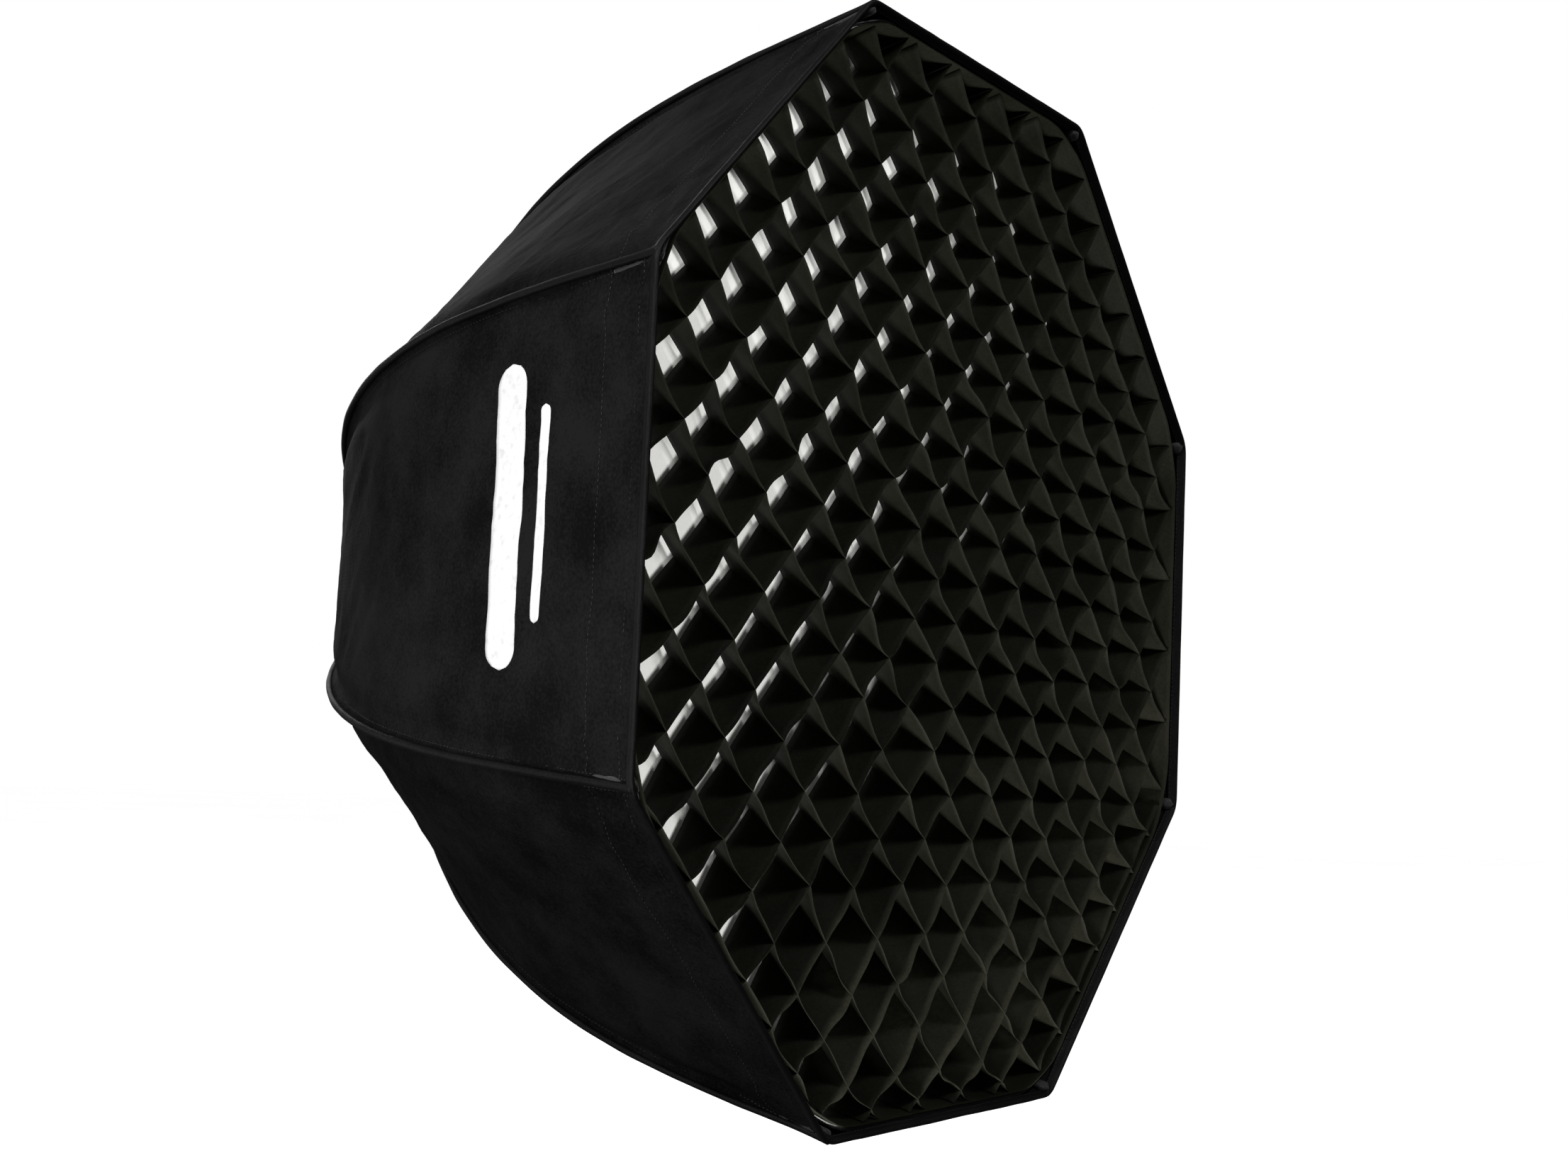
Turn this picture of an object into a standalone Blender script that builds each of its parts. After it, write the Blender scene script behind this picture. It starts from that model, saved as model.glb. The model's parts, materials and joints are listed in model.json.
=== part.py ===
"""Octagonal softbox with a fabric honeycomb grid, on a three-lug bayonet speedring.

Metres. +Y points backwards out of the bayonet, towards the flash. The open face looks along -Y, +X is
right and +Z is up. The origin is the centre of the bayonet flange's rear face.

A point of the fabric cone is given by its depth behind the open rim and its radius from the Y axis.
"""

from math import cos, pi, radians, sin, tan

import bmesh
import bpy
from mathutils import Matrix, Vector

# The octagon
SIDES = 8
RIM_RADIUS = 0.475
HALF_SIDE_ANGLE = pi / SIDES
RIB_ANGLES = [HALF_SIDE_ANGLE + k * 2 * pi / SIDES for k in range(SIDES)]

# The rib curve of the fabric: one cubic from the rim to the rear opening, with its slope to the Y axis
REAR_RADIUS = 0.094
REAR_DEPTH = 0.586
RIM_SLOPE = radians(15)
REAR_SLOPE = radians(70)
RIM_HANDLE = 0.16
REAR_HANDLE = 0.35

# Fabric
GAP = 0.0003
CLOTH = 0.0010
SEAM_MARGIN = 0.00055
PANEL_SAG = 0.005
PANEL_ROWS = 14
PANEL_COLUMNS = 4

# Rods, their sockets and their pockets
ROD_RADIUS = 0.002
ROD_INSET = 0.0065
ROD_POINTS = 18
ROD_FRONT_DEPTH = 0.006
SOCKET_RADIUS = 0.0055
SOCKET_BORE = 0.0025
SOCKET_START = 0.0025
SOCKET_END = 0.030
SOCKET_FLOOR = 0.0025
CAP_RADIUS = 0.003
CAP_BORE = 0.0023
CAP_LENGTH = 0.012
CAP_WALL = 0.002
CAP_FRONT_DEPTH = 0.0035
POCKET_RADIUS = 0.0045
POCKET_BORE = 0.0034
POCKET_FRONT_DEPTH = 0.002
POCKET_LENGTH = 0.045

# Speedring: radii, and places along Y
SLEEVE_BORE = 0.0475
SPIGOT_RADIUS = 0.0505
SLEEVE_RADIUS = 0.0525
FLANGE_RADIUS = 0.062
SPIGOT_END_Y = 0.009
FLANGE_FRONT_Y = -0.003
SLEEVE_FRONT_Y = -0.031
LUG_COUNT = 3
LUG_SIZE = (0.022, 0.009, 0.0035)
LUG_RADIUS = 0.053
WASHER_RADIUS = 0.066
WASHER_THICKNESS = 0.001
HUB_BORE = 0.053
HUB_RADIUS = 0.070
HUB_REAR_Y = FLANGE_FRONT_Y - WASHER_THICKNESS - 2 * GAP
PLATE_REAR_Y = -0.012
PLATE_FRONT_Y = -0.016
PLATE_RADIUS = 0.0735
NECK_RADIUS = 0.059
NECK_FRONT_Y = -0.0307
RETAINER_RADIUS = 0.060
RETAINER_THICKNESS = 0.0032
RING_STEPS = 32

# Screws
RETAINER_SCREW_COUNT = 3
RETAINER_SCREW_CIRCLE = 0.050
RETAINER_SCREW_RADIUS = 0.0012
RETAINER_SCREW_HOLE = 0.0016
RETAINER_SCREW_HEAD = 0.0023
RETAINER_SCREW_HEAD_HEIGHT = 0.0015
RETAINER_SCREW_LENGTH = 0.008
THUMB_SCREW_ANGLES = [radians(90), radians(210), radians(330)]
THUMB_SCREW_Y = -0.0095
THUMB_SHANK_RADIUS = 0.0026
THUMB_HOLE_RADIUS = 0.0031
THUMB_HOLE_LENGTH = 0.0725
THUMB_TIP = 0.0545
THUMB_KNOB_START = 0.0745
THUMB_KNOB_END = 0.083
THUMB_KNOB_RADIUS = 0.0062

# Rear collar
COLLAR_REAR_Y = 0.006
COLLAR_REAR_RADIUS = 0.0945
COLLAR_CLOTH = 0.0012

# Rings of cloth inside the rim: (inset from the fabric's outer face, thickness, front depth, rear depth)
CORNER_CUT = 0.0115
HEM = (0.0014, 0.0008, 0.001, 0.007)
LOOP_TAPE = (0.0014, 0.0010, 0.008, 0.046)
DIFFUSER_BORDER = (0.0028, 0.0012, 0.0135, 0.047)
GRID_BORDER = (0.0044, 0.0015, 0.0055, 0.044)
GRID_INSET = 0.0063

# Diffusers
DIFFUSER_DEPTH = 0.0473
DIFFUSER_CLOTH = 0.001
BAFFLE_DEPTH = 0.30
BAFFLE_RADIUS = 0.30
BAFFLE_TAB_END = 0.379
BAFFLE_TAB_WIDTH = 0.022

# Honeycomb grid
CELL = 0.050
STRIP = 0.0012
GRID_FRONT_DEPTH = 0.0066
GRID_REAR_DEPTH = 0.0415
GRID_RISE = 0.009

COLOURS = {
    "black_fabric": ((0.022, 0.022, 0.024), 0.62, 0.0),
    "grid_fabric": ((0.010, 0.010, 0.009), 0.55, 0.0),
    "white_fabric": ((0.80, 0.80, 0.76), 0.75, 0.0),
    "loop_tape": ((0.015, 0.015, 0.016), 0.95, 0.0),
    "ring_metal": ((0.05, 0.05, 0.055), 0.45, 0.6),
    "bayonet_steel": ((0.62, 0.62, 0.63), 0.30, 1.0),
    "fibreglass": ((0.03, 0.03, 0.03), 0.40, 0.0),
    "black_plastic": ((0.03, 0.03, 0.03), 0.50, 0.0),
}


def clear_scene():
    for obj in list(bpy.data.objects):
        bpy.data.objects.remove(obj, do_unlink=True)


def new_collection(name):
    collection = bpy.data.collections.new(name)
    bpy.context.scene.collection.children.link(collection)
    return collection


def principled(name, slot):
    colour, roughness, metallic = COLOURS[slot]
    material = bpy.data.materials.new(name)
    material.use_nodes = True
    shader = material.node_tree.nodes["Principled BSDF"]
    shader.inputs["Base Color"].default_value = (*colour, 1.0)
    shader.inputs["Roughness"].default_value = roughness
    shader.inputs["Metallic"].default_value = metallic
    return material


def add_piece(name, data, slot, matrix=None):
    """Puts data in the scene as one named sub-part with its own material."""
    piece = bpy.data.objects.new(name, data)
    data.materials.append(principled(name, slot))
    PARTS.objects.link(piece)
    if matrix is not None:
        piece.matrix_world = matrix
    return piece


def add_cutter(name, mesh, matrix=None):
    cutter = bpy.data.objects.new(name, mesh)
    cutter.hide_render = True
    cutter.display_type = "WIRE"
    CUTTERS.objects.link(cutter)
    if matrix is not None:
        cutter.matrix_world = matrix
    return cutter


def boolean(piece, operation, other):
    modifier = piece.modifiers.new(other.name, "BOOLEAN")
    modifier.operation = operation
    modifier.object = other


# --- the fabric's rib curve ---


def rib_point(t):
    """(depth, radius) on the rib curve, t = 0 at the rim and 1 at the rear opening."""
    start = Vector((0.0, RIM_RADIUS))
    end = Vector((REAR_DEPTH, REAR_RADIUS))
    start_handle = start + RIM_HANDLE * Vector((cos(RIM_SLOPE), -sin(RIM_SLOPE)))
    end_handle = end - REAR_HANDLE * Vector((cos(REAR_SLOPE), -sin(REAR_SLOPE)))
    s = 1 - t
    return s**3 * start + 3 * s * s * t * start_handle + 3 * s * t * t * end_handle + t**3 * end


def rib_tangent(t):
    step = 1e-4
    return (rib_point(min(t + step, 1.0)) - rib_point(max(t - step, 0.0))).normalized()


def rod_point(t):
    """The rod's centre line: the rib curve moved straight inwards by ROD_INSET."""
    along = rib_tangent(t)
    inwards = Vector((-along.y, along.x))
    if inwards.y > 0:
        inwards = -inwards
    return rib_point(t) + ROD_INSET * inwards


def at_depth(curve, depth):
    """The parameter at which a curve reaches a depth, by halving."""
    low, high = 0.0, 1.0
    for _ in range(40):
        middle = (low + high) / 2
        if curve(middle).x < depth:
            low = middle
        else:
            high = middle
    return low


def rib_radius(depth):
    return rib_point(at_depth(rib_point, depth)).y


def rod_tail(distance):
    """(depth, radius) on the straight run of the rod into its socket."""
    end = rod_point(1.0)
    return end + distance * rib_tangent(1.0)


# The socket's inner end rests on the ring's plate, which sets how far the rim is from the bayonet.
SOCKET_INNER_Y = PLATE_FRONT_Y - GAP - SOCKET_RADIUS * sin(REAR_SLOPE)
RIM_Y = SOCKET_INNER_Y - rod_tail(SOCKET_END).x


def in_space(depth_radius, angle):
    depth, radius = depth_radius
    return Vector((radius * cos(angle), RIM_Y + depth, radius * sin(angle)))


# --- shape helpers ---


def mesh_from(name, build):
    mesh = bpy.data.meshes.new(name)
    shape = bmesh.new()
    build(shape)
    shape.to_mesh(mesh)
    shape.free()
    return mesh


def surface(name, rows, ring, capped=False):
    """A quad surface through rows of points. Its normals point outwards when the rows run forwards."""

    def build(shape):
        grid = [[shape.verts.new(point) for point in row] for row in rows]
        columns = len(rows[0])
        for lower, upper in zip(grid, grid[1:]):
            for i in range(columns if ring else columns - 1):
                j = (i + 1) % columns
                shape.faces.new((lower[i], lower[j], upper[j], upper[i]))
        if capped:
            shape.faces.new(reversed(grid[0]))
            shape.faces.new(grid[-1])

    return mesh_from(name, build)


def thicken(piece, thickness):
    solidify = piece.modifiers.new("thickness", "SOLIDIFY")
    solidify.thickness = thickness
    solidify.offset = -1
    solidify.use_even_offset = True


def turned(name, profile, steps, ring, slot, matrix):
    """A turned solid about local Z. The profile runs down its outer side as (radius, z)."""

    def build(shape):
        points = [shape.verts.new((radius, 0.0, z)) for radius, z in profile]
        for first, second in zip(points, points[1:]):
            shape.edges.new((first, second))
        if ring:
            shape.edges.new((points[-1], points[0]))

    piece = add_piece(name, mesh_from(name, build), slot, matrix)
    screw = piece.modifiers.new("turn", "SCREW")
    screw.axis = "Z"
    screw.steps = steps
    screw.render_steps = steps
    screw.use_merge_vertices = True
    screw.merge_threshold = 0.00001
    return piece


def along(origin, direction):
    """A matrix that puts local Z along direction, with its origin at a point."""
    turn = direction.to_track_quat("Z", "Y").to_matrix().to_4x4()
    return Matrix.Translation(origin) @ turn


BACKWARDS = along(Vector((0, 0, 0)), Vector((0, 1, 0)))


def cylinder_mesh(name, radius, length, segments=16):
    """A cylinder from the local origin along +Z."""

    def build(shape):
        bmesh.ops.create_cone(
            shape,
            cap_ends=True,
            segments=segments,
            radius1=radius,
            radius2=radius,
            depth=length,
            matrix=Matrix.Translation((0, 0, length / 2)),
        )

    return mesh_from(name, build)


def cup(name, radius, bore, length, floor, slot, matrix, steps=12):
    """A round cup about local Z, closed at z = 0 and open at z = length."""
    profile = [
        (0.0, floor),
        (bore, floor),
        (bore, length),
        (radius, length),
        (radius, 0.0),
        (0.0, 0.0),
    ]
    return turned(name, profile, steps, False, slot, matrix)


def cut_octagon(depth, inset):
    """(x, z) of an octagon inside the fabric at a depth, its corners cut off short of the rods."""
    radius = rib_radius(depth)
    flat = radius * cos(HALF_SIDE_ANGLE) - inset / cos(RIM_SLOPE)
    corner = radius - CORNER_CUT - inset
    half_cut = (flat - corner * cos(HALF_SIDE_ANGLE)) / sin(HALF_SIDE_ANGLE)
    outline = []
    for angle in RIB_ANGLES:
        outwards = Vector((cos(angle), sin(angle)))
        sideways = Vector((-sin(angle), cos(angle)))
        outline.append(corner * outwards - half_cut * sideways)
        outline.append(corner * outwards + half_cut * sideways)
    return outline


def cut_octagon_rows(inset, front_depth, rear_depth):
    """The outline at three depths, from the rear forwards."""
    rows = []
    for depth in (rear_depth, (front_depth + rear_depth) / 2, front_depth):
        outline = cut_octagon(depth, inset)
        rows.append([Vector((p.x, RIM_Y + depth, p.y)) for p in outline])
    return rows


def inner_band(name, inset, thickness, front_depth, rear_depth, slot):
    """An octagonal ring of cloth that lines the fabric near the rim."""
    mesh = surface(name, cut_octagon_rows(inset, front_depth, rear_depth), ring=True)
    thicken(add_piece(name, mesh, slot), thickness)


# --- speedring ---


def make_bayonet_ring():
    profile = [
        (SPIGOT_RADIUS, SPIGOT_END_Y),
        (SPIGOT_RADIUS, 0.0),
        (FLANGE_RADIUS, 0.0),
        (FLANGE_RADIUS, FLANGE_FRONT_Y),
        (SLEEVE_RADIUS, FLANGE_FRONT_Y),
        (SLEEVE_RADIUS, SLEEVE_FRONT_Y),
        (SLEEVE_BORE, SLEEVE_FRONT_Y),
        (SLEEVE_BORE, SPIGOT_END_Y),
    ]
    ring = turned("bayonet_ring", profile, RING_STEPS, True, "bayonet_steel", BACKWARDS)
    width, height, thickness = LUG_SIZE
    for k in range(LUG_COUNT):
        angle = pi / 2 + k * 2 * pi / LUG_COUNT
        mesh = mesh_from("lug", lambda shape: bmesh.ops.create_cube(shape, size=1.0))
        mesh.transform(Matrix.Diagonal((width, height, thickness, 1.0)))
        mesh.transform(Matrix.Translation((0, LUG_RADIUS, SPIGOT_END_Y - thickness / 2)))
        mesh.transform(Matrix.Rotation(angle, 4, "Z"))
        boolean(ring, "UNION", add_cutter(f"lug_{k + 1}", mesh, BACKWARDS))
    for hole in retainer_screw_holes():
        boolean(ring, "DIFFERENCE", hole)


def retainer_screw_places():
    for k in range(RETAINER_SCREW_COUNT):
        angle = pi / 6 + k * 2 * pi / RETAINER_SCREW_COUNT
        yield RETAINER_SCREW_CIRCLE * cos(angle), RETAINER_SCREW_CIRCLE * sin(angle)


RETAINER_REAR_Y = SLEEVE_FRONT_Y - GAP
RETAINER_FRONT_Y = RETAINER_REAR_Y - RETAINER_THICKNESS
RETAINER_HEAD_Y = RETAINER_FRONT_Y - GAP - RETAINER_SCREW_HEAD_HEIGHT


def retainer_screw_holes():
    length = RETAINER_SCREW_LENGTH + 2 * RETAINER_THICKNESS
    for k, (x, z) in enumerate(retainer_screw_places()):
        mesh = cylinder_mesh("retainer_hole", RETAINER_SCREW_HOLE, length)
        place = along(Vector((x, RETAINER_FRONT_Y - RETAINER_THICKNESS, z)), Vector((0, 1, 0)))
        yield add_cutter(f"retainer_hole_{k + 1}", mesh, place)


def make_retaining_ring():
    profile = [
        (RETAINER_RADIUS, RETAINER_REAR_Y),
        (RETAINER_RADIUS, RETAINER_FRONT_Y),
        (SLEEVE_BORE, RETAINER_FRONT_Y),
        (SLEEVE_BORE, RETAINER_REAR_Y),
    ]
    ring = turned("retaining_ring", profile, RING_STEPS, True, "bayonet_steel", BACKWARDS)
    for hole in [c for c in CUTTERS.objects if c.name.startswith("retainer_hole")]:
        boolean(ring, "DIFFERENCE", hole)


def make_retainer_screws():
    shank_end = RETAINER_SCREW_HEAD_HEIGHT + RETAINER_SCREW_LENGTH
    profile = [
        (0.0, shank_end),
        (RETAINER_SCREW_RADIUS, shank_end),
        (RETAINER_SCREW_RADIUS, RETAINER_SCREW_HEAD_HEIGHT),
        (RETAINER_SCREW_HEAD, RETAINER_SCREW_HEAD_HEIGHT),
        (RETAINER_SCREW_HEAD, RETAINER_SCREW_HEAD_HEIGHT / 3),
        (RETAINER_SCREW_HEAD * 0.7, 0.0),
        (0.0, 0.0),
    ]
    for k, (x, z) in enumerate(retainer_screw_places()):
        place = along(Vector((x, RETAINER_HEAD_Y, z)), Vector((0, 1, 0)))
        turned(f"retainer_screw_{k + 1}", profile, 12, False, "bayonet_steel", place)


def make_wear_washer():
    rear = FLANGE_FRONT_Y - GAP
    front = rear - WASHER_THICKNESS
    profile = [
        (WASHER_RADIUS, rear),
        (WASHER_RADIUS, front),
        (HUB_BORE, front),
        (HUB_BORE, rear),
    ]
    turned("wear_washer", profile, RING_STEPS, True, "black_plastic", BACKWARDS)


def make_rod_ring():
    profile = [
        (HUB_RADIUS, HUB_REAR_Y),
        (HUB_RADIUS, PLATE_REAR_Y),
        (PLATE_RADIUS, PLATE_REAR_Y),
        (PLATE_RADIUS, PLATE_FRONT_Y),
        (NECK_RADIUS, PLATE_FRONT_Y),
        (NECK_RADIUS, NECK_FRONT_Y),
        (HUB_BORE, NECK_FRONT_Y),
        (HUB_BORE, HUB_REAR_Y),
    ]
    ring = turned("rod_ring", profile, RING_STEPS, True, "ring_metal", BACKWARDS)
    for k, angle in enumerate(THUMB_SCREW_ANGLES):
        outwards = Vector((cos(angle), 0, sin(angle)))
        start = SLEEVE_BORE * outwards + Vector((0, THUMB_SCREW_Y, 0))
        mesh = cylinder_mesh("thumb_hole", THUMB_HOLE_RADIUS, THUMB_HOLE_LENGTH)
        boolean(ring, "DIFFERENCE", add_cutter(f"thumb_hole_{k + 1}", mesh, along(start, outwards)))


def make_thumb_screws():
    """Each screw's origin is on its own axis, so that it turns about local Z."""
    start = THUMB_KNOB_START - THUMB_TIP
    end = THUMB_KNOB_END - THUMB_TIP
    profile = [
        (0.0, end),
        (THUMB_KNOB_RADIUS * 0.85, end),
        (THUMB_KNOB_RADIUS, end - 0.001),
        (THUMB_KNOB_RADIUS, start + 0.001),
        (THUMB_KNOB_RADIUS * 0.85, start),
        (THUMB_SHANK_RADIUS, start),
        (THUMB_SHANK_RADIUS, 0.001),
        (THUMB_SHANK_RADIUS * 0.6, 0.0),
        (0.0, 0.0),
    ]
    for k, angle in enumerate(THUMB_SCREW_ANGLES):
        outwards = Vector((cos(angle), 0, sin(angle)))
        place = along(THUMB_TIP * outwards + Vector((0, THUMB_SCREW_Y, 0)), outwards)
        turned(f"thumb_screw_{k + 1}", profile, 16, False, "black_plastic", place)


# --- rods ---


def rib_direction(start, end, angle):
    return (in_space(end, angle) - in_space(start, angle)).normalized()


def make_sockets():
    mouth = rod_tail(SOCKET_START)
    floor = rod_tail(SOCKET_END)
    length = SOCKET_END - SOCKET_START
    for k, angle in enumerate(RIB_ANGLES):
        place = along(in_space(floor, angle), rib_direction(floor, mouth, angle))
        name = f"rod_socket_{k + 1}"
        cup(name, SOCKET_RADIUS, SOCKET_BORE, length, SOCKET_FLOOR, "ring_metal", place)


def rod_route():
    """(depth, radius) from the rod's front end to its rear end in the socket."""
    first = at_depth(rod_point, ROD_FRONT_DEPTH)
    bend = [rod_point(first + (1 - first) * i / (ROD_POINTS - 2)) for i in range(ROD_POINTS - 1)]
    return bend + [rod_tail(SOCKET_END - SOCKET_FLOOR - GAP)]


def make_rods():
    route = rod_route()
    for k, angle in enumerate(RIB_ANGLES):
        name = f"rod_{k + 1}"
        curve = bpy.data.curves.new(name, "CURVE")
        curve.dimensions = "3D"
        curve.bevel_depth = ROD_RADIUS
        curve.bevel_resolution = 2
        curve.use_fill_caps = True
        spline = curve.splines.new("POLY")
        spline.points.add(len(route) - 1)
        for point, place in zip(spline.points, route):
            point.co = (*in_space(place, angle), 1.0)
        add_piece(name, curve, "fibreglass")


def make_rod_ends():
    """The plastic cap on each rod's front end, and the webbing pocket at the rim that holds it."""
    cap_front = rod_point(at_depth(rod_point, CAP_FRONT_DEPTH))
    pocket_front = rod_point(at_depth(rod_point, POCKET_FRONT_DEPTH))
    pocket_rear = rod_point(at_depth(rod_point, POCKET_FRONT_DEPTH + POCKET_LENGTH))
    for k, angle in enumerate(RIB_ANGLES):
        backwards = rib_direction(pocket_front, pocket_rear, angle)
        place = along(in_space(cap_front, angle), backwards)
        cup(f"rod_cap_{k + 1}", CAP_RADIUS, CAP_BORE, CAP_LENGTH, CAP_WALL, "black_plastic", place)
        place = along(in_space(pocket_front, angle), backwards)
        cup(
            f"rod_pocket_{k + 1}",
            POCKET_RADIUS,
            POCKET_BORE,
            POCKET_LENGTH,
            GAP * 3,
            "black_fabric",
            place,
        )


# --- fabric ---


def panel_sag(depth, across):
    """How far a panel sinks in between two rods: nothing where the inner bands lie or at the ring."""
    start = LOOP_TAPE[3] + 0.02
    share = min(max((depth - start) / (REAR_DEPTH - start), 0.0), 1.0)
    return PANEL_SAG * sin(pi * share) ** 2 * 4 * across * (1 - across)


def make_shell_panels():
    for k, angle in enumerate(RIB_ANGLES):
        next_angle = angle + 2 * HALF_SIDE_ANGLE
        middle = angle + HALF_SIDE_ANGLE
        inwards = Vector((-cos(middle), 0, -sin(middle)))
        rows = []
        for i in range(PANEL_ROWS + 1):
            place = rib_point(1 - i / PANEL_ROWS)
            first = in_space(place, angle)
            last = in_space(place, next_angle)
            margin = SEAM_MARGIN * (last - first).normalized()
            first += margin
            last -= margin
            row = []
            for j in range(PANEL_COLUMNS + 1):
                across = j / PANEL_COLUMNS
                sag = panel_sag(place.x, across)
                row.append(first.lerp(last, across) + sag * inwards)
            rows.append(row)
        name = f"shell_panel_{k + 1}"
        mesh = surface(name, rows, ring=False)
        thicken(add_piece(name, mesh, "black_fabric"), CLOTH)


def make_rear_collar():
    rows = []
    front_y = RIM_Y + REAR_DEPTH + GAP
    for y, radius in ((COLLAR_REAR_Y, COLLAR_REAR_RADIUS), (front_y, REAR_RADIUS)):
        rows.append([Vector((radius * cos(a), y, radius * sin(a))) for a in RIB_ANGLES])
    mesh = surface("rear_collar", rows, ring=True)
    thicken(add_piece("rear_collar", mesh, "black_fabric"), COLLAR_CLOTH)


def make_rim_bands():
    inner_band("hem_band", *HEM, "black_fabric")
    inner_band("loop_tape", *LOOP_TAPE, "loop_tape")
    inner_band("diffuser_border", *DIFFUSER_BORDER, "white_fabric")
    inner_band("grid_border", *GRID_BORDER, "grid_fabric")


def flat_piece(name, outline, depth, thickness, slot):
    """A flat sheet across the box: a filled 2D curve with its front face at a depth."""
    curve = bpy.data.curves.new(name, "CURVE")
    curve.dimensions = "2D"
    curve.fill_mode = "BOTH"
    curve.extrude = thickness / 2
    spline = curve.splines.new("POLY")
    spline.points.add(len(outline) - 1)
    for point, place in zip(spline.points, outline):
        point.co = (place.x, place.y, 0.0, 1.0)
    spline.use_cyclic_u = True
    upright = Matrix.Rotation(pi / 2, 4, "X")
    place = Matrix.Translation((0, RIM_Y + depth + thickness / 2, 0)) @ upright
    add_piece(name, curve, slot, place)


def make_front_diffuser():
    outline = cut_octagon(DIFFUSER_DEPTH + DIFFUSER_CLOTH, DIFFUSER_BORDER[0])
    flat_piece("front_diffuser", outline, DIFFUSER_DEPTH, DIFFUSER_CLOTH, "white_fabric")


def make_inner_baffle():
    """A smaller octagon with a tab at each corner, which reaches to the rod there."""
    half_tab = BAFFLE_TAB_WIDTH / 2
    root = BAFFLE_RADIUS - half_tab * tan(HALF_SIDE_ANGLE)
    outline = []
    for angle in RIB_ANGLES:
        outwards = Vector((cos(angle), sin(angle)))
        sideways = Vector((-sin(angle), cos(angle)))
        for reach, side in ((root, -1), (BAFFLE_TAB_END, -1), (BAFFLE_TAB_END, 1), (root, 1)):
            outline.append(reach * outwards + side * half_tab * sideways)
    flat_piece("inner_baffle", outline, BAFFLE_DEPTH, DIFFUSER_CLOTH, "white_fabric")


# --- honeycomb grid ---


def strip_set(name, turn):
    """Parallel strips of the grid, a cell apart. The Y axis runs through a cell, a little below its middle."""
    count = int(RIM_RADIUS / CELL)
    depth = 2 * (GRID_REAR_DEPTH - GRID_FRONT_DEPTH)
    middle = RIM_Y + (GRID_REAR_DEPTH + GRID_FRONT_DEPTH) / 2

    def build(shape):
        for k in range(-count - 1, count + 1):
            stretch = Matrix.Diagonal((STRIP, depth, 2.2 * RIM_RADIUS, 1.0))
            move = Matrix.Translation(((k + 0.5) * CELL, middle, 0))
            bmesh.ops.create_cube(shape, size=1.0, matrix=move @ stretch)
        bmesh.ops.rotate(shape, verts=shape.verts, matrix=Matrix.Rotation(turn, 3, "Y"))
        bmesh.ops.translate(shape, verts=shape.verts, vec=(0, 0, GRID_RISE))

    return mesh_from(name, build)


def make_grid_lattice():
    lattice = add_piece("grid_lattice", strip_set("grid_lattice", radians(45)), "grid_fabric")
    boolean(lattice, "UNION", add_cutter("crossing_strips", strip_set("strips", radians(-45))))
    rows = cut_octagon_rows(GRID_INSET, GRID_FRONT_DEPTH, GRID_REAR_DEPTH)
    outline = add_cutter("grid_outline", surface("grid_outline", rows, ring=True, capped=True))
    boolean(lattice, "INTERSECT", outline)


clear_scene()
PARTS = new_collection("octagonal_softbox")
CUTTERS = new_collection("cutters")
make_bayonet_ring()
make_retaining_ring()
make_retainer_screws()
make_wear_washer()
make_rod_ring()
make_thumb_screws()
make_sockets()
make_rods()
make_rod_ends()
make_shell_panels()
make_rear_collar()
make_rim_bands()
make_front_diffuser()
make_inner_baffle()
make_grid_lattice()
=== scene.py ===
"""The looks of the octagonal softbox with its honeycomb grid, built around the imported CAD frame.

Metres, in the frame of the CAD model: +Y points backwards towards the flash and the open rim faces -Y.
A place on the cloth is given by its depth behind the rim and by how far it lies across a panel.
"""

import json
import random
from math import atan2, cos, exp, hypot, pi, radians, sin, sqrt, tan

import bmesh
import bpy
from mathutils import Matrix, Vector, noise

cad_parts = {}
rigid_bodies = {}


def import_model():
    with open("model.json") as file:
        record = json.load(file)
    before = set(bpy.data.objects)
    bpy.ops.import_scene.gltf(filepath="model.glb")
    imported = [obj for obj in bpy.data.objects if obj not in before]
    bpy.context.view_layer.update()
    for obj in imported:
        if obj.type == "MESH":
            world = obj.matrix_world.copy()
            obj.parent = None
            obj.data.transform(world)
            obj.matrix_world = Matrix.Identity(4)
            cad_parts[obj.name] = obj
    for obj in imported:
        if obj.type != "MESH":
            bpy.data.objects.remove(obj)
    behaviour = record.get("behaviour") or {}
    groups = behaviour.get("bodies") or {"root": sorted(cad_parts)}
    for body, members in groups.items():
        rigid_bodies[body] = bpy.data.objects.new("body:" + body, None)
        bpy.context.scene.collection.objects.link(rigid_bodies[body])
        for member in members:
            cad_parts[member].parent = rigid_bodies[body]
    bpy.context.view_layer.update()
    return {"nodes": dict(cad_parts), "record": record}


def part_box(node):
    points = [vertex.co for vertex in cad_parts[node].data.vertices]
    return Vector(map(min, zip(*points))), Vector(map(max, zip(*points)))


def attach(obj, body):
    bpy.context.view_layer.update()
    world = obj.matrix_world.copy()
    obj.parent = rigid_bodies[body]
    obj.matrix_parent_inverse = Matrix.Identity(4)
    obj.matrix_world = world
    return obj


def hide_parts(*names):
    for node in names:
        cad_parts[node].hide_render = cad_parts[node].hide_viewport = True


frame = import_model()

# --- sizes, from the frame ---

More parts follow.
